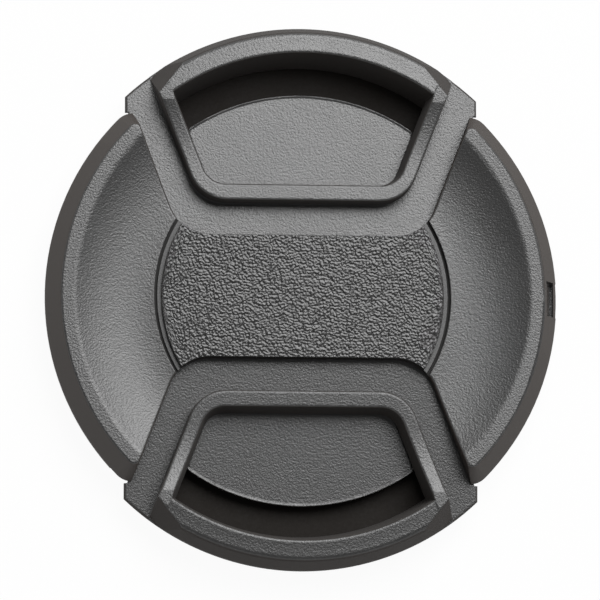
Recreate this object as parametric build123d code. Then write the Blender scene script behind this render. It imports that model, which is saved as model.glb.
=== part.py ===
from build123d import *
from math import acos, atan, cos, degrees, radians, sin, sqrt, tan
import os

# Thread that the cap snaps into and the spigot that enters it
thread_d = 58.0
thread_pitch = 0.75
minor_pitches = 1.0825
spigot_room = 0.25
spigot_wall = 1.3
seat_z = 3.6

# Rim, raised lip and the dished face between lip and disc
seat_w = 1.9
land_h = 1.0
cone_w = 1.75
lip_z = 7.8
lip_w = 1.65
lip_edge_r = 0.4
lip_in_edge_r = 1.5
lip_end_r = 0.8
dish_r = 24.5
dish_low = 7.85
edge_r = 0.3

# Tether slot that runs down the cone and out under a bar at the rim
tether_w = 4.1
tether_in = 0.05
tether_run = 0.9
tether_bar = 0.5
tether_gap = 0.75
tether_floor = 0.4

# Opening for each lever between the two crescents
bridge_half = 7.25
side_y = 17.8
side_x = 18.45
side_deg = 21.3
corner_r = 5.0
side_edge_r = 0.25

# Textured disc set in the bridge
disc_r = 16.65
disc_step = 0.5
disc_gap = 0.36
disc_base_t = 0.3
disc_t = 1.0
disc_edge_r = 0.1
bridge_wall = 0.7

# Lever plate that slides under the face
rest_out = 1.95
travel = 3.0
plate_z = 3.8
plate_t = 1.3
plate_fall = 3.0
slide_room = 0.15
tuck = 0.95
flange_w = 1.4
flange_room = 0.65
wing_tuck = 0.4
wing_x = 20.85
wing_y = 22.0
wing_edge = 0.2
notch_deg = 42.0

# Raised finger frame and outer wall of the lever
bar_y = 11.25
bar_w = 1.85
frame_w = 1.6
frame_inset = 3.74
frame_corner_r = 4.6
frame_z = 7.45
frame_edge_r = 0.25
frame_rise_r = 30.0
frame_rise_in = 14.75
pocket_draft = 7.0
wall_z = 7.8
wall_lean = 0.95
wall_top_w = 2.4
wall_round_r = 0.7
wall_fall = 4.8
wall_crown_r = 27.0
wall_foot_w = 2.0
wall_seat_r = 0.15
cut_x = 13.8
cut_in = 2.45
cut_deg = 50.0
cut_lean = 27.0

# Teeth on the lever that bite the thread
tooth_n = 3
tooth_h = 0.35
tooth_inset = 1.6

# Finger ramp fixed in each lever window
ramp_tip_gap = 0.5
ramp_centre = 1.27
ramp_out_z = 3.0
ramp_t = 0.9
ramp_corner_r = 1.0
ramp_gap = 0.25
ramp_edge_r = 0.35
ramp_curl_r = 0.45
ramp_curl_h = 0.1

# Ribs under the face
rib_w = 1.6
riser_w = 1.0
rail_w = 1.0
post_wall = 3.6

# Legs and springs
leg_x = 9.2
leg_w = 3.2
leg_t = 1.5
leg_room = 0.2
stop_gap = 0.05
spring_z = 2.6
spring_d = 2.2
wire_d = 0.35
spring_turns = 7
post_d = 1.3
post_l = 1.4

# Back cover and the pegs that hold it
cover_z = 0.3
cover_t = 0.8
cover_room = 0.15
cover_tab_in = 0.25
peg_in = 5.55
peg_y = 5.0
peg_d = 1.8
peg_boss_d = 3.4
peg_head_d = 2.8
peg_end_z = 0.08
peg_room = 0.05

# How far joined shapes reach into each other and cutting shapes reach past
root = 0.3
over = 2.0
near = 0.03

# Sizes worked out from those above
thread_minor_r = (thread_d - minor_pitches * thread_pitch) / 2
spigot_r = thread_minor_r - spigot_room
spigot_in_r = spigot_r - spigot_wall
rim_r = spigot_r + seat_w
lip_r = rim_r - cone_w
wall_top_r = rim_r - wall_lean
wall_foot_r = spigot_r - tooth_h - wall_foot_w
cut_y = rim_r - cut_in
frame_rise_y = rim_r - frame_rise_in
ramp_tip_y = wall_foot_r + rest_out - travel - ramp_tip_gap
ramp_r = ramp_tip_y - ramp_centre
cover_tab_r = spigot_r - cover_tab_in
peg_x = spigot_in_r - peg_in
land_z = seat_z + land_h
band_z = plate_z + plate_t
ceiling_z = band_z + slide_room
ledge_z = plate_z - slide_room
bridge_z = ceiling_z + bridge_wall
recess_r = disc_r + disc_step + disc_gap
lip_in_r = lip_r - lip_w
dish_low_r = lip_in_r - dish_low
dish_low_z = lip_z - dish_r + sqrt(dish_r ** 2 - dish_low ** 2)
tether_bar_z = seat_z + tether_floor + tether_gap
side_slope = tan(radians(side_deg))
frame_w_x = frame_w / cos(radians(side_deg))
notch_w = travel * side_slope + flange_room
flange_r = spigot_in_r - flange_room
plate_in_y = bridge_half - tuck
riser_y = bar_y + riser_w + stop_gap
leg_y = riser_y - stop_gap - leg_t
ramp_slope = (ledge_z - ramp_out_z) / (ramp_tip_y - riser_y)
rail_x = leg_x + leg_w / 2 + leg_room
cover_top_z = cover_z + cover_t
wall_bottom_z = cover_top_z + slide_room
tooth_crest_r = spigot_r
top_z = max(lip_z, wall_z) + over
far = rim_r + 2 * over


# Half the width of a lever opening at a distance from the centre line
def half_width(y):
    return side_x + (y - side_y) * side_slope


# Wedge between two distances, widened on both sides, inner corners rounded
def wedge(y_in, y_out, grow, corner=0.0):
    a = half_width(y_in) + grow
    b = half_width(y_out) + grow
    face = make_face(Polyline((-a, y_in), (a, y_in), (b, y_out), (-b, y_out), close=True))
    if corner > 0:
        face = fillet(face.vertices().sort_by(Axis.Y)[:2], corner)
    return face


# Upright solid on a plan face
def prism(face, z0, z1):
    return Pos(0, 0, z0) * extrude(face, z1 - z0)


# Block between two corners
def block(x0, x1, y0, y1, z0, z1):
    return Pos((x0 + x1) / 2, (y0 + y1) / 2, (z0 + z1) / 2) * Box(x1 - x0, y1 - y0, z1 - z0)


# The same shape turned half round the axis
def turned(shape):
    return Rot(0, 0, 180) * shape


# Corner of a flat face nearest a point
def corner_at(face, x, y):
    return face.vertices().sort_by_distance((x, y, 0))[0]


# Section of the shell from spigot over the rim to the axis
def shell_section():
    dish_in_z = dish_low_z + dish_r - sqrt(dish_r ** 2 - (dish_low_r - recess_r) ** 2)
    run = Polyline(
        (recess_r, dish_in_z),
        (recess_r, bridge_z),
        (0, bridge_z),
        (0, ceiling_z),
        (flange_r, ceiling_z),
        (spigot_in_r, ceiling_z - flange_room),
        (spigot_in_r, 0),
        (spigot_r, 0),
        (spigot_r, seat_z),
        (rim_r, seat_z),
        (rim_r, land_z),
        (lip_r, lip_z),
        (lip_in_r, lip_z),
    )
    dish = ThreePointArc((lip_in_r, lip_z), (dish_low_r, dish_low_z), (recess_r, dish_in_z))
    face = make_face(run + dish)
    for x, z, r in (
        (lip_r, lip_z, lip_edge_r),
        (lip_in_r, lip_z, lip_in_edge_r),
        (rim_r, land_z, edge_r),
        (rim_r, seat_z, edge_r),
        (spigot_r, 0, edge_r),
    ):
        face = fillet(corner_at(face, x, z), r)
    return Plane.XZ * face


# Tether slot: leaning inner wall, bar at the rim and the way out below it
def tether_cut():
    in_x = lip_r + tether_in
    bar_x = rim_r - tether_bar
    floor_z = seat_z + tether_floor
    side = make_face(Polyline(
        (in_x, lip_z),
        (bar_x, lip_z),
        (bar_x, tether_bar_z),
        (rim_r + over, tether_bar_z),
        (rim_r + over, floor_z),
        (in_x + tether_run, floor_z),
        close=True,
    ))
    return extrude(Plane.XZ * side, tether_w / 2, both=True)


# Ramp that fills the inner part of a lever window
def ramp():
    plan = wedge(riser_y, ramp_tip_y + over, -frame_inset - frame_w_x - ramp_gap)
    plan = plan & (Pos(0, ramp_centre) * Circle(ramp_r))
    plan = fillet(plan.vertices().sort_by(Axis.Y)[-2:], ramp_corner_r)
    side = make_face(Polyline(
        (riser_y, ledge_z),
        (ramp_tip_y, ramp_out_z),
        (ramp_tip_y, ramp_out_z - ramp_t),
        (riser_y, ledge_z - ramp_t),
        close=True,
    ))
    body = prism(plan, 0, top_z) & extrude(Plane.YZ * side, far, both=True)
    arc_edges = []
    for edge in body.edges():
        mid = edge.center()
        if mid.Y > riser_y + riser_w and abs(top_of_ramp(mid.Y) - mid.Z) < ramp_edge_r:
            arc_edges.append(edge)
    body = fillet(arc_edges, ramp_edge_r)
    return body + (ramp_curl() & prism(plan, 0, top_z))


# Height of the ramp's surface
def top_of_ramp(y):
    return ledge_z - (y - riser_y) * ramp_slope


# Low curl along the ramp's outer edge
def ramp_curl():
    ring = Torus(ramp_r, ramp_curl_r)
    z = top_of_ramp(ramp_centre) + ramp_curl_h - ramp_curl_r
    return Pos(0, ramp_centre, z) * Rot(-degrees(atan(ramp_slope)), 0, 0) * ring


# Ladder of ribs under the face that carries ramps, springs and guides
def ribs():
    inside = Pos(0, 0, top_z / 2) * Cylinder(spigot_in_r + root, top_z)
    low = cover_top_z
    body = block(-far, far, -rib_w / 2, rib_w / 2, low, ceiling_z + root)
    for side in (-1, 1):
        x0 = side * rail_x
        x1 = side * (rail_x + rail_w)
        rail_y = riser_y + riser_w / 2
        body += block(min(x0, x1), max(x0, x1), -rail_y, rail_y, low, ledge_z)
    cross = block(-far, far, riser_y, riser_y + riser_w, low, ledge_z)
    post_x = half_width(riser_y + riser_w) + flange_w + notch_w
    for side in (-1, 1):
        x0 = side * post_x
        x1 = side * (post_x + post_wall)
        cross += block(min(x0, x1), max(x0, x1), riser_y, riser_y + riser_w, low, ceiling_z + root)
    cross += ramp()
    body += cross + turned(cross)
    return body & inside


# Round pegs between the central rib and each lever's leg
def spring_posts(y, towards):
    posts = []
    for x in (-leg_x, leg_x):
        peg = Rot(90, 0, 0) * Cylinder(post_d / 2, post_l + root)
        posts.append(Pos(x, y + towards * (post_l - root) / 2, spring_z) * peg)
    return posts


# Bosses with staked pegs that hold the back cover
def cover_pegs():
    pegs = []
    for x in (-peg_x, peg_x):
        for y in (-peg_y, peg_y):
            boss = prism(Circle(peg_boss_d / 2), cover_top_z, ceiling_z + root)
            peg = prism(Circle(peg_d / 2), peg_end_z, cover_top_z + root)
            head = prism(Circle(peg_head_d / 2), peg_end_z, cover_z)
            pegs.append(Pos(x, y, 0) * (boss + peg + head))
    return pegs


# Upper edges of the crescents along both lever openings
def opening_edges(cup):
    found = []
    for edge in cup.edges():
        mid = edge @ 0.5
        beside = abs(abs(mid.X) - half_width(abs(mid.Y))) < near
        if beside and mid.Z > dish_low_z - side_edge_r and abs(mid.Y) > bridge_half + corner_r / 2:
            found.append(edge)
    return found


# Cuts that round the crescents' ends, so that the outer cone wraps round them
def lip_end_cuts():
    a = half_width(0) + lip_end_r / cos(radians(side_deg))
    r = lip_r - lip_end_r
    k = 1 + side_slope ** 2
    y = (sqrt(k * r ** 2 - a ** 2) - a * side_slope) / k
    x = a + side_slope * y
    centre = Vector(x, y)
    outward = centre.normalized() * 2 * over
    sideways = Vector(-1, side_slope).normalized() * 2 * over
    sector = make_face(Polyline(
        centre,
        centre + outward,
        centre + outward + sideways,
        centre + sideways,
        close=True,
    ))
    foot_r = lip_end_r + cone_w
    end = make_face(Polyline(
        (0, seat_z),
        (foot_r, seat_z),
        (foot_r, land_z),
        (lip_end_r, lip_z),
        (0, lip_z),
        close=True,
    ))
    end = fillet(corner_at(end, lip_end_r, lip_z), lip_edge_r)
    end = fillet(corner_at(end, foot_r, land_z), edge_r)
    cut = prism(sector, seat_z, top_z) - Pos(x, y) * revolve(Plane.XZ * end, Axis.Z)
    cuts = [cut, mirror(cut, Plane.YZ)]
    return cuts + [turned(c) for c in cuts]


# Front shell: rim, two crescents, bridge, spigot and ribs in one moulding
def front_shell():
    cup = revolve(shell_section(), Axis.Z)
    opening = wedge(bridge_half, far, 0, corner_r)
    cup -= prism(opening + turned(opening), -over, top_z)
    cup = fillet(opening_edges(cup), side_edge_r)
    for cut in lip_end_cuts():
        cup -= cut
    end_x = far * cos(radians(notch_deg))
    end_y = far * sin(radians(notch_deg))
    notch = wedge(bridge_half, far, notch_w)
    notch += make_face(Polyline((0, 0), (end_x, end_y), (-end_x, end_y), close=True))
    room = prism(notch, -over, ceiling_z) - Pos(0, 0, slide_room) * above_plate()
    cup -= room
    cup -= turned(room)
    body = cup + ribs()
    for post in spring_posts(rib_w / 2, 1) + spring_posts(-rib_w / 2, -1) + cover_pegs():
        body += post
    return body - tether_cut()


# Disc set in the bridge between the crescents
def centre_disc():
    opening = wedge(bridge_half, far, 0, corner_r)
    bridge = Circle(far) - opening - turned(opening)
    base = prism(bridge & Circle(disc_r + disc_step), bridge_z, bridge_z + disc_base_t)
    top = prism(bridge & Circle(disc_r), bridge_z, bridge_z + disc_t)
    return base + fillet(top.faces().sort_by(Axis.Z)[-1].edges(), disc_edge_r)


# Back cover with tabs that close the lever slots from behind
def back_cover():
    tab = wedge(bridge_half, far, notch_w - flange_room) & Circle(cover_tab_r)
    plan = Circle(spigot_in_r - cover_room) + tab + turned(tab)
    for x in (-peg_x, peg_x):
        for y in (-peg_y, peg_y):
            plan -= Pos(x, y) * Circle(peg_d / 2 + peg_room)
    return prism(plan, cover_z, cover_top_z)


# Section of the lever's outer wall, from the teeth to the top edge
def wall_section():
    wall_in_r = wall_top_r - wall_top_w
    points = [(wall_in_r, wall_z), (wall_foot_r, wall_bottom_z)]
    root_r = tooth_crest_r - tooth_h
    tooth_z = (wall_bottom_z + seat_z - tooth_n * thread_pitch) / 2
    points += [(root_r, wall_bottom_z), (root_r, tooth_z)]
    for i in range(tooth_n):
        points.append((tooth_crest_r, tooth_z + (i + 0.5) * thread_pitch))
        points.append((root_r, tooth_z + (i + 1) * thread_pitch))
    wall_out_z = wall_z - wall_top_w * tan(radians(wall_fall))
    points += [(root_r, seat_z), (rim_r, seat_z), (rim_r, land_z), (wall_top_r, wall_out_z)]
    crown = RadiusArc((wall_top_r, wall_out_z), (wall_in_r, wall_z), wall_crown_r)
    face = make_face(Polyline(*points) + crown)
    face = fillet(corner_at(face, wall_top_r, wall_out_z), wall_round_r)
    for x, z, r in ((wall_in_r, wall_z, edge_r), (rim_r, land_z, edge_r), (rim_r, seat_z, wall_seat_r)):
        face = fillet(corner_at(face, x, z), r)
    return face


# Plan of the finger frame and of the pocket inside it
def frame_plan():
    return wedge(bar_y, far, -frame_inset, frame_corner_r)


def pocket_plan():
    return wedge(bar_y + bar_w, far, -frame_inset - frame_w_x, frame_corner_r - frame_w)


# Heights of the lever's plate and frame, which fall slightly towards the rim
def plate_top(y):
    return band_z - (y - plate_in_y) * tan(radians(plate_fall))


def frame_top(y):
    return frame_z - (y - bar_y) * tan(radians(plate_fall))


# Space above the sloping plate
def above_plate():
    side = make_face(Polyline(
        (plate_in_y, plate_top(plate_in_y)),
        (far, plate_top(far)),
        (far, top_z),
        (plate_in_y, top_z),
        close=True,
    ))
    return extrude(Plane.YZ * side, far, both=True)


# Space above the frame's top, which turns up in a curve towards the rim
def above_frame():
    low_z = frame_top(frame_rise_y)
    fall = radians(plate_fall)
    turn = acos(cos(fall) - (wall_z - low_z) / frame_rise_r)
    points = []
    for a in (-fall, (turn - fall) / 2, turn):
        y = frame_rise_y + frame_rise_r * (sin(a) + sin(fall))
        points.append((y, low_z + frame_rise_r * (cos(fall) - cos(a))))
    end_y = points[-1][0]
    rise = ThreePointArc(*points)
    rest = Polyline((end_y, wall_z), (end_y, top_z), (0, top_z), (0, frame_top(0)), points[0])
    return extrude(Plane.YZ * make_face(rise + rest), far, both=True)


# Leaning cuts across the frame's outer corners
def corner_cuts():
    cuts = []
    size = 2 * lip_r
    raised = prism(frame_plan(), plate_z, top_z) & above_plate()
    for side in (-1, 1):
        tool = Pos(0, size / 2, 0) * Box(size, size, size)
        tool = Rot(cut_lean, 0, 0) * tool
        tool = Rot(0, 0, -side * cut_deg) * tool
        cuts.append(raised & (Pos(side * cut_x, cut_y, wall_z) * tool))
    return cuts


# Long edges of the finger frame's top
def frame_edges(body):
    flat = body.edges().filter_by(lambda e: abs((e @ 0.5).Z - frame_top((e @ 0.5).Y)) < near)
    return [e for e in flat if (e @ 0.5).Y < frame_rise_y - edge_r]


# Upper outer edges of the plate's wings
def wing_edges(body):
    found = []
    for edge in body.edges():
        mid = edge @ 0.5
        on_top = abs(mid.Z - plate_top(mid.Y)) < near
        at_end = abs(abs(mid.X) - wing_x) < near
        at_rim = abs(sqrt(mid.X ** 2 + (mid.Y - rest_out) ** 2) - rim_r) < near
        if on_top and (at_end or at_rim):
            found.append(edge)
    return found


# Upper lever: sliding plate, finger frame, outer wall with teeth, two legs
def upper_lever():
    own = Pos(0, rest_out, 0)
    wall = own * revolve(Plane.XZ * wall_section(), Axis.Z)
    wing = wedge(plate_in_y, far, wing_tuck, corner_r)
    wing = wing & Rectangle(2 * wing_x, 2 * far)
    wing += Pos(0, wing_y + far / 2) * Rectangle(2 * wing_x, far)
    flange = wedge(plate_in_y, far, flange_w, corner_r + flange_w) & Circle(flange_r)
    wing_top = wing & (Pos(0, rest_out) * Circle(lip_r))
    plate = prism(flange, plate_z, band_z) + prism(wing_top, plate_z, band_z) - above_plate()
    frame = frame_plan() & (Pos(0, rest_out) * Circle(wall_top_r - wall_top_w / 2))
    body = plate + prism(frame, plate_z, wall_z)
    window = Pos(0, 0, wall_z) * pocket_plan()
    body -= extrude(window, wall_z - plate_z + slide_room, dir=(0, 0, -1), taper=pocket_draft)
    body += wall & prism(frame_plan(), plate_z, top_z)
    for cut in corner_cuts():
        body -= cut
    body -= above_frame()
    body = fillet(frame_edges(body), frame_edge_r)
    foot = wall & prism(wing, seat_z, band_z)
    foot -= above_plate()
    tips = foot - prism(frame_plan(), 0, top_z)
    body += foot & prism(frame_plan(), 0, top_z)
    body += chamfer(wing_edges(tips), wing_edge)
    body += wall & prism(wedge(plate_in_y, far, -tooth_inset), 0, seat_z + slide_room)
    for x in (-leg_x, leg_x):
        x0 = x - leg_w / 2
        body += block(x0, x0 + leg_w, leg_y, leg_y + leg_t, wall_bottom_z, plate_z + slide_room)
    for post in spring_posts(leg_y, -1):
        body += post
    return body


# Coil spring along Y between the central rib and a leg
def spring(x, sign):
    start = rib_w / 2 + wire_d / 2
    length = leg_y - rib_w / 2 - wire_d
    coil_r = (spring_d - wire_d) / 2
    path = Helix(length / spring_turns, length, coil_r)
    coil = sweep(Plane(path @ 0, z_dir=path % 0) * Circle(wire_d / 2), path, is_frenet=True)
    return Pos(x, sign * start, spring_z) * Rot(-sign * 90, 0, 0) * coil


os.makedirs("parts", exist_ok=True)
lever = upper_lever()
nodes = {
    "front_shell": front_shell(),
    "centre_disc": centre_disc(),
    "back_cover": back_cover(),
    "upper_lever": lever,
    "lower_lever": turned(lever),
    "upper_spring_left": spring(-leg_x, 1),
    "upper_spring_right": spring(leg_x, 1),
    "lower_spring_left": spring(-leg_x, -1),
    "lower_spring_right": spring(leg_x, -1),
}
for name, shape in nodes.items():
    export_step(shape, f"parts/{name}.step")
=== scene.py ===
import math
import random

import bpy
from mathutils import Matrix, Vector, kdtree, noise


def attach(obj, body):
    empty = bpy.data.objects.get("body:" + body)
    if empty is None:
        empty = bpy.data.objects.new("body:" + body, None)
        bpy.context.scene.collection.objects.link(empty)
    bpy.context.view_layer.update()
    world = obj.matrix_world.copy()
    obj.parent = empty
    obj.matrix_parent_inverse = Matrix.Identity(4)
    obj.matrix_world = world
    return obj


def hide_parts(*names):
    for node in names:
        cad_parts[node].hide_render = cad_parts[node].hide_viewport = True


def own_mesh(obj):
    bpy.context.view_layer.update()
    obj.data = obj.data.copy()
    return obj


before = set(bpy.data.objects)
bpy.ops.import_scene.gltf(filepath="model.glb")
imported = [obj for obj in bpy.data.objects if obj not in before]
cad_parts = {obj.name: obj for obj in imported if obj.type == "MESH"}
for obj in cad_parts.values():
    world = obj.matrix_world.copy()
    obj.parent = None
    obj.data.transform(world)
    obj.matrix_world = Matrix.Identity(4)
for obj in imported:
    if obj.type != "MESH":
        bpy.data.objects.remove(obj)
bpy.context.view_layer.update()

mm = 0.001
print("frame loaded:", ", ".join(sorted(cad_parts)))


# small helpers

def newPiece(name, points, faces):
    mesh = bpy.data.meshes.new(name)
    mesh.from_pydata(points, [], faces)
    mesh.update()
    piece = bpy.data.objects.new(name, mesh)
    bpy.context.scene.collection.objects.link(piece)
    return piece


def swapIn(piece, node):
    # the piece rides on the shell in place of a solid
    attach(piece, "shell")
    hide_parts(node)


def shadeSmooth(piece, sharpAngle=None):
    for face in piece.data.polygons:
        face.use_smooth = True
    if sharpAngle:
        piece.data.set_sharp_from_angle(angle=math.radians(sharpAngle))


def dress(piece, material):
    if piece.data.materials:
        for spot in piece.material_slots:
            spot.material = material
    else:
        piece.data.materials.append(material)


# finishes

colourMix = {"kind": "RGBA", "inputs": (6, 7), "output": 2}  # the Mix node has a set of sockets per kind
valueMix = {"kind": "FLOAT", "inputs": (2, 3), "output": 0}


class Wires:
    # keeps the node building short: one object per material
    def __init__(self, name, kind="ShaderNodeBsdfPrincipled"):
        self.material = bpy.data.materials.new(name)
        self.material.use_nodes = True
        self.tree = self.material.node_tree
        self.tree.nodes.clear()
        self.shader = self.add(kind)
        output = self.add("ShaderNodeOutputMaterial")
        self.join(self.shader.outputs[0], output.inputs["Surface"])

    def add(self, kind, **settings):
        node = self.tree.nodes.new(kind)
        for key, value in settings.items():
            setattr(node, key, value)
        return node

    def join(self, source, target):
        self.tree.links.new(source, target)

    def feed(self, spot, value):
        # takes another node's output, a colour or a number
        if isinstance(value, bpy.types.NodeSocket):
            self.join(value, spot)
        elif isinstance(value, tuple):
            spot.default_value = (*value, 1.0)
        else:
            spot.default_value = value

    def place(self):
        return self.add("ShaderNodeTexCoord").outputs["Object"]

    def noise(self, size, detail, rough=0.5, stretch=None):
        node = self.add("ShaderNodeTexNoise")
        node.inputs["Scale"].default_value = 1.0 / size
        node.inputs["Detail"].default_value = detail
        node.inputs["Roughness"].default_value = rough
        where = self.place()
        if stretch:
            mapping = self.add("ShaderNodeMapping")
            mapping.inputs["Scale"].default_value = stretch
            self.join(where, mapping.inputs["Vector"])
            where = mapping.outputs["Vector"]
        self.join(where, node.inputs["Vector"])
        return node.outputs["Fac"]

    def span(self, value, low, high, fromLow=0.0, fromHigh=1.0):
        node = self.add("ShaderNodeMapRange")
        node.inputs["From Min"].default_value = fromLow
        node.inputs["From Max"].default_value = fromHigh
        node.inputs["To Min"].default_value = low
        node.inputs["To Max"].default_value = high
        self.join(value, node.inputs["Value"])
        return node.outputs["Result"]

    def math(self, how, a, b):
        node = self.add("ShaderNodeMath", operation=how)
        self.feed(node.inputs[0], a)
        self.feed(node.inputs[1], b)
        return node.outputs["Value"]

    def mix(self, sockets, factor, a, b):
        node = self.add("ShaderNodeMix", data_type=sockets["kind"])
        self.join(factor, node.inputs["Factor"])
        for spot, value in zip(sockets["inputs"], (a, b)):
            self.feed(node.inputs[spot], value)
        return node.outputs[sockets["output"]]

    def bump(self, height, depth, strength=1.0, under=None):
        node = self.add("ShaderNodeBump")
        node.inputs["Distance"].default_value = depth
        self.feed(node.inputs["Strength"], strength)
        self.join(height, node.inputs["Height"])
        if under:
            self.join(under, node.inputs["Normal"])
        return node.outputs["Normal"]

    def softEdges(self, radius, rays):
        node = self.add("ShaderNodeBevel", samples=rays)
        node.inputs["Radius"].default_value = radius
        return node.outputs["Normal"]

    def seat(self, radius, low, high):
        # 1 inside the radius and between two heights, 0 elsewhere
        where = self.place()
        flat = self.add("ShaderNodeVectorMath", operation="MULTIPLY")
        flat.inputs[1].default_value = (1.0, 1.0, 0.0)
        self.join(where, flat.inputs[0])
        length = self.add("ShaderNodeVectorMath", operation="LENGTH")
        self.join(flat.outputs["Vector"], length.inputs[0])
        split = self.add("ShaderNodeSeparateXYZ")
        self.join(where, split.inputs["Vector"])
        inside = self.math("LESS_THAN", length.outputs["Value"], radius)
        under = self.math("LESS_THAN", split.outputs["Z"], high)
        over = self.math("GREATER_THAN", split.outputs["Z"], low)
        return self.math("MULTIPLY", inside, self.math("MULTIPLY", under, over))

    def upward(self):
        # 1 on level faces, 0 on upright ones
        split = self.add("ShaderNodeSeparateXYZ")
        self.join(self.add("ShaderNodeNewGeometry").outputs["Normal"], split.inputs["Vector"])
        return split.outputs["Z"]


# how every moulded surface is grained
mouldGrain = {
    "mottleDetail": 3.0,
    "grainDetail": 2.0,
    "grainRough": 0.6,
    "grainShare": 0.6,  # of the roughness, the mottle gives the rest
    "noiseLow": 0.3,  # the noise seldom leaves this range
    "noiseHigh": 0.7,
    "steepGrain": 0.1,  # what a steep face keeps of the grain
    "edgeRays": 6,
}


def grainedPlastic(name, look):
    w = Wires(name)
    w.shader.inputs["Specular IOR Level"].default_value = look["gloss"]
    mottle = w.noise(look["mottle"], mouldGrain["mottleDetail"])
    grain = w.noise(look["grain"], mouldGrain["grainDetail"], mouldGrain["grainRough"])
    colour = w.mix(colourMix, mottle, look["dark"], look["light"])
    share = mouldGrain["grainShare"]
    spread = w.math("ADD", w.math("MULTIPLY", grain, share), w.math("MULTIPLY", mottle, 1 - share))
    rough = w.span(spread, look["roughLow"], look["roughHigh"],
                   mouldGrain["noiseLow"], mouldGrain["noiseHigh"])
    strength = 1.0
    if "steepColour" in look:
        # the mould leaves the steep faces smooth and in a colour of their own; on the levers that colour
        # is darkened as painted shade
        steep = w.span(w.upward(), 0.0, 1.0, look["steepFrom"], look["steepTo"])
        colour = w.mix(colourMix, steep, colour, look["steepColour"])
        rough = w.mix(valueMix, steep, rough, look["steepRough"])
        strength = w.span(steep, 1.0, mouldGrain["steepGrain"])
    if "seatR" in look:
        # painted shade: the floor of the gap round the disc is coloured near black where its shadow
        # falls
        gapShade = w.seat(look["seatR"], look["seatLow"], look["seatHigh"])
        colour = w.mix(colourMix, gapShade, colour, look["gapShadeColour"])
        rough = w.mix(valueMix, gapShade, rough, look["gapShadeRough"])
    edges = w.softEdges(look["edge"], mouldGrain["edgeRays"])
    w.join(colour, w.shader.inputs["Base Color"])
    w.join(rough, w.shader.inputs["Roughness"])
    w.join(w.bump(grain, look["grainDepth"], strength, edges), w.shader.inputs["Normal"])
    return w.material


greyPlastic = {
    "dark": (0.0150, 0.0148, 0.0146),
    "light": (0.0210, 0.0208, 0.0206),
    "gloss": 0.92,
    "roughLow": 0.33,
    "roughHigh": 0.40,
    "grain": 0.23 * mm,
    "grainDepth": 0.046 * mm,
    "mottle": 5.0 * mm,
    "edge": 0.16 * mm,
    "steepColour": (0.0185, 0.0112, 0.0065),
    "steepRough": 0.72,
    "steepFrom": 0.86,  # from here down a face counts as steep, and fully so at steepTo
    "steepTo": 0.66,
}
# painted shade for the gap round the disc: a near-black colour and high roughness stand for the shadow
# down the gap
discGapShade = {
    "seatR": 17.53 * mm,
    "seatLow": 5.8 * mm,
    "seatHigh": 6.40 * mm,
    "gapShadeColour": (0.0050, 0.0042, 0.0036),
    "gapShadeRough": 0.9,
}
# painted shade: the levers' steep faces, the pocket walls among them, take a darker colour than the
# shell's steep faces
leverSides = {
    "edge": 0.28 * mm,
    "steepColour": (0.0140, 0.0095, 0.0066),
    "steepRough": 0.92,
}
shellFinish = grainedPlastic("greyShellPlastic", {**greyPlastic, **discGapShade})
leverFinish = grainedPlastic("greyLeverPlastic", {**greyPlastic, **leverSides})

discPlastic = {
    "dark": (0.0130, 0.0129, 0.0127),
    "light": (0.0190, 0.0188, 0.0185),
    "gloss": 0.60,
    "roughLow": 0.22,
    "roughHigh": 0.28,
    "grain": 0.15 * mm,
    "grainDepth": 0.008 * mm,
    "mottle": 2.0 * mm,
    "edge": 0.04 * mm,
}
discLedge = {"gloss": 0.72, "roughLow": 0.32, "roughHigh": 0.38}
discFinish = grainedPlastic("grainedDiscPlastic", discPlastic)
ledgeFinish = grainedPlastic("smoothLedgePlastic", {**discPlastic, **discLedge})

# painted shade: the cover is coloured near black, with little gloss, to stand for the dark depth seen
# down the slots
slotShadeBlack = {
    "dark": (0.0080, 0.0060, 0.0044),
    "light": (0.0118, 0.0092, 0.0072),
    "gloss": 0.20,
    "roughLow": 0.6,
    "roughHigh": 0.75,
    "grain": 0.3 * mm,
    "grainDepth": 0.010 * mm,
    "mottle": 6.0 * mm,
    "edge": 0.10 * mm,
}
coverFinish = grainedPlastic("coverSlotShadeBlack", slotShadeBlack)

springWire = {
    "dark": (0.36, 0.35, 0.34),
    "light": (0.52, 0.51, 0.50),
    "roughLow": 0.22,
    "roughHigh": 0.4,
    "streak": 0.08 * mm,
    "streakDetail": 3.0,
    "streakRough": 0.6,
    "streakStretch": (1.0, 0.15, 1.0),
    "streakDepth": 0.002 * mm,
    "noiseLow": 0.3,
    "noiseHigh": 0.7,
}


def drawnSteel(name, look):
    w = Wires(name)
    w.shader.inputs["Metallic"].default_value = 1.0
    streak = w.noise(look["streak"], look["streakDetail"], look["streakRough"], look["streakStretch"])
    rough = w.span(streak, look["roughLow"], look["roughHigh"], look["noiseLow"], look["noiseHigh"])
    w.join(w.mix(colourMix, streak, look["dark"], look["light"]), w.shader.inputs["Base Color"])
    w.join(rough, w.shader.inputs["Roughness"])
    w.join(w.bump(streak, look["streakDepth"]), w.shader.inputs["Normal"])
    return w.material


steelFinish = drawnSteel("drawnSpringSteel", springWire)
print("finishes made")


# mouldings kept from the frame

dress(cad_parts["front_shell"], shellFinish)
dress(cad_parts["back_cover"], coverFinish)
for name in ("upper_lever", "lower_lever"):
    dress(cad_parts[name], leverFinish)
print("mouldings dressed")


# centre disc with moulded leather grain

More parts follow.
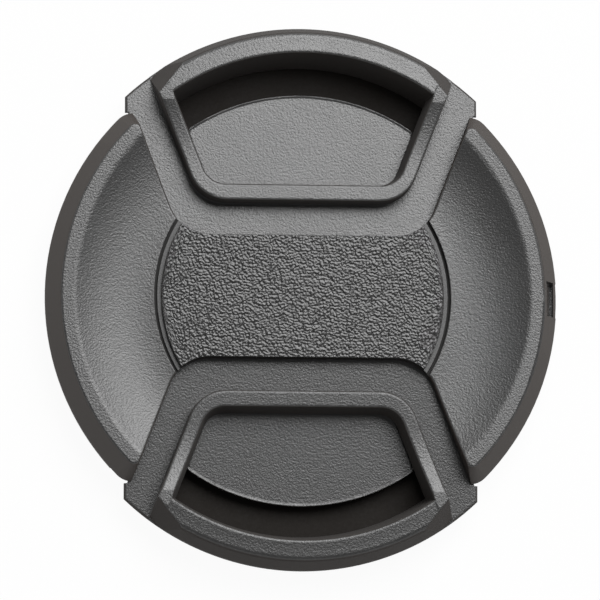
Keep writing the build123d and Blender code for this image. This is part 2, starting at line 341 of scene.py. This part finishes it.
grainedDisc = {
    "radius": 16.65 * mm,
    "halfHeight": 7.25 * mm,
    "cornerR": 5.0 * mm,
    "cornerX": 10.92 * mm,
    "topZ": 6.95 * mm,
    "ledgeZ": 6.25 * mm,
    "bottomZ": 5.95 * mm,
    "ledge": 0.5 * mm,
    "edgeR": 0.1 * mm,
    "edgeSteps": 5,
    "edgeGrain": 0.5,  # what the rolled edge keeps of the grain
    "sharpAngle": 50,
    "columns": 450,
    "rows": 190,
    "endShare": 0.2,  # how much the columns close up towards the ends
    "pebble": (0.42 * mm, 0.38 * mm),
    "pebbleReach": (18.5 * mm, 10.5 * mm),
    "jitter": 0.48,
    "bend": 0.12 * mm,
    "crease": 0.13 * mm,
    "creaseDepth": 0.042 * mm,
    "creaseMean": 0.9,  # shares of the depth, which changes from patch to patch
    "creaseVary": 0.25,
    "creaseLeast": 0.1,
    "creasePatch": 0.9 * mm,
    "ripple": 0.23 * mm,
    "rippleDepth": 0.038 * mm,
    "rippleLayer": 3.7,
    "seed": 7,
}


def discHalfHeight(x, inset, look):
    # half the disc's height at x, for an outline drawn in by inset, or with its round ends let out
    inward = max(inset, 0.0)
    flat = look["halfHeight"] - inward
    beyond = abs(x) - look["cornerX"]
    if beyond > 0:
        cornerR = look["cornerR"] + inward
        centre = look["halfHeight"] + look["cornerR"]
        flat = centre - math.sqrt(max(cornerR ** 2 - beyond ** 2, 0.0))
    r = look["radius"] - inset
    return min(flat, math.sqrt(max(r * r - x * x, 0.0)))


def acrossAt(i, r, look):
    # even steps across the disc, a little closer at its ends
    t = 2 * i / look["columns"] - 1
    return r * ((1 - look["endShare"]) * t + look["endShare"] * math.sin(math.pi * t / 2))


def pebbleSeeds(look):
    rng = random.Random(look["seed"])
    jitter = look["jitter"]
    stepX, stepY = look["pebble"]
    reachX, reachY = look["pebbleReach"]
    rows = int(2 * reachY / stepY) + 1
    cols = int(2 * reachX / stepX) + 1
    seeds = []
    for row in range(rows):
        for col in range(cols):
            x = -reachX + (col + 0.5 * (row % 2) + rng.uniform(-jitter, jitter)) * stepX
            y = -reachY + (row + rng.uniform(-jitter, jitter)) * stepY
            seeds.append((x, y))
    return seeds


def pebbleHeight(look):
    noise.seed_set(look["seed"])  # noise_vector differs from run to run without it
    stepX, stepY = look["pebble"]
    squeeze = stepX / stepY
    seeds = pebbleSeeds(look)
    tree = kdtree.KDTree(len(seeds))
    for i, (x, y) in enumerate(seeds):
        tree.insert((x, y * squeeze, 0.0), i)
    tree.balance()
    layer = Vector((0.0, 0.0, look["rippleLayer"]))

    def height(x, y):
        # pebbles are parted by creases halfway between two seeds
        spot = Vector((x, y, 0.0))
        bend = noise.noise_vector(spot / look["ripple"]) * look["bend"]
        near, far = tree.find_n((x + bend.x, (y + bend.y) * squeeze, 0.0), 2)
        toCrease = (far[2] ** 2 - near[2] ** 2) / (2 * (near[0] - far[0]).length)
        t = min(toCrease / look["crease"], 1.0)
        deep = look["creaseMean"] + look["creaseVary"] * noise.noise(spot / look["creasePatch"])
        ripple = noise.noise(spot / look["ripple"] + layer)
        crease = look["creaseDepth"] * max(deep, look["creaseLeast"]) * (1 - t) ** 2
        return look["rippleDepth"] * ripple - crease
    return height


def discSteps(look):
    # rolled edge, wall, ledge and lower wall: inset, height and whether the grain shows
    steps = []
    edgeR = look["edgeR"]
    for k in range(1, look["edgeSteps"] + 1):
        a = math.radians(90 * k / look["edgeSteps"])
        steps.append((edgeR * (1 - math.sin(a)), look["topZ"] - edgeR * (1 - math.cos(a)), True))
    steps.append((0.0, look["ledgeZ"], False))
    steps.append((-look["ledge"], look["ledgeZ"], False))
    steps.append((-look["ledge"], look["bottomZ"], False))
    return steps


def makeGrainedDisc(look):
    n, m = look["columns"], look["rows"]
    height = pebbleHeight(look)
    points, faces = [], []
    inset = look["edgeR"]
    grid = []
    for i in range(n + 1):
        x = acrossAt(i, look["radius"] - inset, look)
        half = discHalfHeight(x, inset, look)
        column = []
        for j in range(m + 1):
            y = half * (2 * j / m - 1)
            points.append((x, y, look["topZ"] + height(x, y)))
            column.append(len(points) - 1)
        grid.append(column)
    for i in range(n):
        for j in range(m):
            faces.append((grid[i][j], grid[i + 1][j], grid[i + 1][j + 1], grid[i][j + 1]))
    # rings round the grid, along its lower side and back along its upper one
    last = [grid[i][0] for i in range(n + 1)] + [grid[i][m] for i in range(n, -1, -1)]
    for step, z, grained in discSteps(look):
        ring = []
        for sign, order in ((-1, range(n + 1)), (1, range(n, -1, -1))):
            for i in order:
                x = acrossAt(i, look["radius"] - step, look)
                y = sign * discHalfHeight(x, step, look)
                grainZ = height(x, y) * look["edgeGrain"] if grained else 0.0
                points.append((x, y, z + grainZ))
                ring.append(len(points) - 1)
        for i in range(len(ring)):
            j = (i + 1) % len(ring)
            faces.append((last[i], ring[i], ring[j], last[j]))
        last = ring
    faces.append(tuple(reversed(last)))
    piece = newPiece("grainedDisc", points, faces)
    swapIn(piece, "centre_disc")
    shadeSmooth(piece, look["sharpAngle"])
    dress(piece, discFinish)
    piece.data.materials.append(ledgeFinish)
    # halfway up the wall parts the ledge from the grained top
    halfWay = (look["ledgeZ"] + look["topZ"]) / 2
    for face in piece.data.polygons:
        if all(piece.data.vertices[i].co.z < halfWay for i in face.vertices):
            face.material_index = 1
    return piece


disc = makeGrainedDisc(grainedDisc)
print("disc made:", len(disc.data.polygons), "faces")


# coil springs

coilSpring = {
    "x": 9.2 * mm,
    "z": 2.6 * mm,
    "start": 0.8 * mm,
    "end": 10.75 * mm,
    "outer": 2.2 * mm,
    "wire": 0.35 * mm,
    "turns": 7,
    "closedTurns": 1,
    "closedPitch": 1.02,  # in wires
    "pressed": 3.0 * mm,
    "around": 10,
    "perTurn": 28,
}


def coilPath(look):
    r = (look["outer"] - look["wire"]) / 2
    low = look["start"] + look["wire"] / 2
    high = look["end"] - look["wire"] / 2
    closedTurns = look["closedTurns"]
    closed = closedTurns * look["wire"] * look["closedPitch"]
    turns = look["turns"] + 2 * closedTurns
    path = []
    for i in range(turns * look["perTurn"] + 1):
        t = i / look["perTurn"]
        if t < closedTurns:
            y = low + closed * t / closedTurns
        elif t > turns - closedTurns:
            y = high - closed * (turns - t) / closedTurns
        else:
            y = low + closed + (high - low - 2 * closed) * (t - closedTurns) / look["turns"]
        a = 2 * math.pi * t
        path.append(Vector((r * math.cos(a), y, r * math.sin(a))))
    return path


def makeCoil(name, node, side, up, look):
    path = coilPath(look)
    around = look["around"]

    def facing(face):
        # the lower springs are mirrored, so their faces turn round
        return face if up > 0 else tuple(reversed(face))

    points, faces = [], []
    for i, p in enumerate(path):
        ahead = path[min(i + 1, len(path) - 1)] - path[max(i - 1, 0)]
        outward = Vector((p.x, 0.0, p.z)).normalized()
        other = ahead.normalized().cross(outward).normalized()
        for k in range(around):
            a = 2 * math.pi * k / around
            q = p + (outward * math.cos(a) + other * math.sin(a)) * look["wire"] / 2
            points.append((side * look["x"] + q.x, up * q.y, look["z"] + q.z))
    for i in range(len(path) - 1):
        for k in range(around):
            j = (k + 1) % around
            quad = (i * around + k, i * around + j, (i + 1) * around + j, (i + 1) * around + k)
            faces.append(facing(quad))
    faces.append(facing(tuple(range(around - 1, -1, -1))))
    faces.append(facing(tuple(range(len(points) - around, len(points)))))
    piece = newPiece(name, points, faces)
    swapIn(piece, node)
    shadeSmooth(piece)
    dress(piece, steelFinish)
    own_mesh(piece)
    return piece


for up, lever in ((1, "upper"), (-1, "lower")):
    for side, hand in ((-1, "left"), (1, "right")):
        makeCoil("coil" + lever.title() + hand.title(), lever + "_spring_" + hand,
                 side, up, coilSpring)
print("springs made")


# floor, light and camera, in metres

studio = {
    "floorR": 2.2,
    "floorRings": (0.05, 0.4, 1.2),
    "floorAround": 96,
    "coveR": 0.8,
    "coveSteps": 10,
    "wallTop": 2.0,
    "floorColour": (0.86, 0.86, 0.86),
    "glow": 0.95,
    "skyColour": (1.0, 1.0, 1.0),
    "skyStrength": 0.2,
    "keyAzimuth": 65.0,
    "keyElevation": 58.3,
    "keyDistance": 1.1,
    "keySize": 0.85,
    "keyPower": 13.6,
}


def whitePaper(look):
    # mostly glows where the camera or a reflection sees it, and is lit as paper elsewhere
    w = Wires("whitePaper", "ShaderNodeMixShader")
    path = w.add("ShaderNodeLightPath")
    seen = path.outputs["Is Camera Ray"]
    for kind in ("Is Glossy Ray", "Is Transmission Ray"):
        seen = w.math("MAXIMUM", seen, path.outputs[kind])
    paper = w.add("ShaderNodeBsdfDiffuse")
    paper.inputs["Color"].default_value = (*look["floorColour"], 1.0)
    glow = w.add("ShaderNodeEmission")
    w.join(w.math("MULTIPLY", seen, look["glow"]), w.shader.inputs["Fac"])
    w.join(paper.outputs["BSDF"], w.shader.inputs[1])
    w.join(glow.outputs["Emission"], w.shader.inputs[2])
    return w.material


def makeFloor(look):
    around = look["floorAround"]
    floorR, coveR = look["floorR"], look["coveR"]
    profile = [(r, 0.0) for r in (*look["floorRings"], floorR)]
    for k in range(1, look["coveSteps"] + 1):
        a = math.radians(90 * k / look["coveSteps"])
        profile.append((floorR + coveR * math.sin(a), coveR * (1 - math.cos(a))))
    profile.append((profile[-1][0], look["wallTop"]))
    points = [(0.0, 0.0, 0.0)]
    for r, z in profile:
        for k in range(around):
            a = 2 * math.pi * k / around
            points.append((r * math.cos(a), r * math.sin(a), z))
    faces = [(0, 1 + k, 1 + (k + 1) % around) for k in range(around)]
    for i in range(len(profile) - 1):
        inner, outer = 1 + i * around, 1 + (i + 1) * around
        for k in range(around):
            j = (k + 1) % around
            faces.append((inner + k, outer + k, outer + j, inner + j))
    floor = newPiece("paperFloor", points, faces)
    shadeSmooth(floor)
    dress(floor, whitePaper(look))


def makeLight(look):
    world = bpy.data.worlds.new("softSky")
    bpy.context.scene.world = world
    world.use_nodes = True
    sky = world.node_tree.nodes["Background"]
    sky.inputs["Color"].default_value = (*look["skyColour"], 1.0)
    sky.inputs["Strength"].default_value = look["skyStrength"]
    az, el = math.radians(look["keyAzimuth"]), math.radians(look["keyElevation"])
    towards = Vector((math.cos(az) * math.cos(el), math.sin(az) * math.cos(el), math.sin(el)))
    data = bpy.data.lights.new("softKey", "AREA")
    data.shape = "DISK"
    data.size = look["keySize"]
    data.energy = look["keyPower"]
    key = bpy.data.objects.new("softKey", data)
    key.location = towards * look["keyDistance"]
    key.rotation_euler = (-towards).to_track_quat("-Z", "Y").to_euler()
    bpy.context.scene.collection.objects.link(key)


photoCamera = {
    "lean": (-0.087, -0.130),  # sideways for each step back along z
    "target": (-0.15 * mm, -0.15 * mm, 4.4 * mm),
    "width": 70.72 * mm,  # what the picture takes in at the target
    "lens": 400.0,
    "sensor": 36.0,
    "clip": (0.01, 20.0),
}


def makeCamera(look):
    data = bpy.data.cameras.new("photoCamera")
    data.lens = look["lens"]
    data.sensor_width = look["sensor"]
    data.clip_start, data.clip_end = look["clip"]
    camera = bpy.data.objects.new("photoCamera", data)
    back = Vector((*look["lean"], 1.0)).normalized()
    distance = look["width"] * look["lens"] / look["sensor"]
    side = Vector((0.0, 1.0, 0.0)).cross(back).normalized()
    up = back.cross(side)
    turn = Matrix((side, up, back)).transposed().to_4x4()
    camera.matrix_world = Matrix.Translation(Vector(look["target"]) + back * distance) @ turn
    bpy.context.scene.collection.objects.link(camera)
    bpy.context.scene.camera = camera


makeFloor(studio)
makeLight(studio)
makeCamera(photoCamera)
bpy.context.scene.view_settings.view_transform = "Standard"
print("studio set")
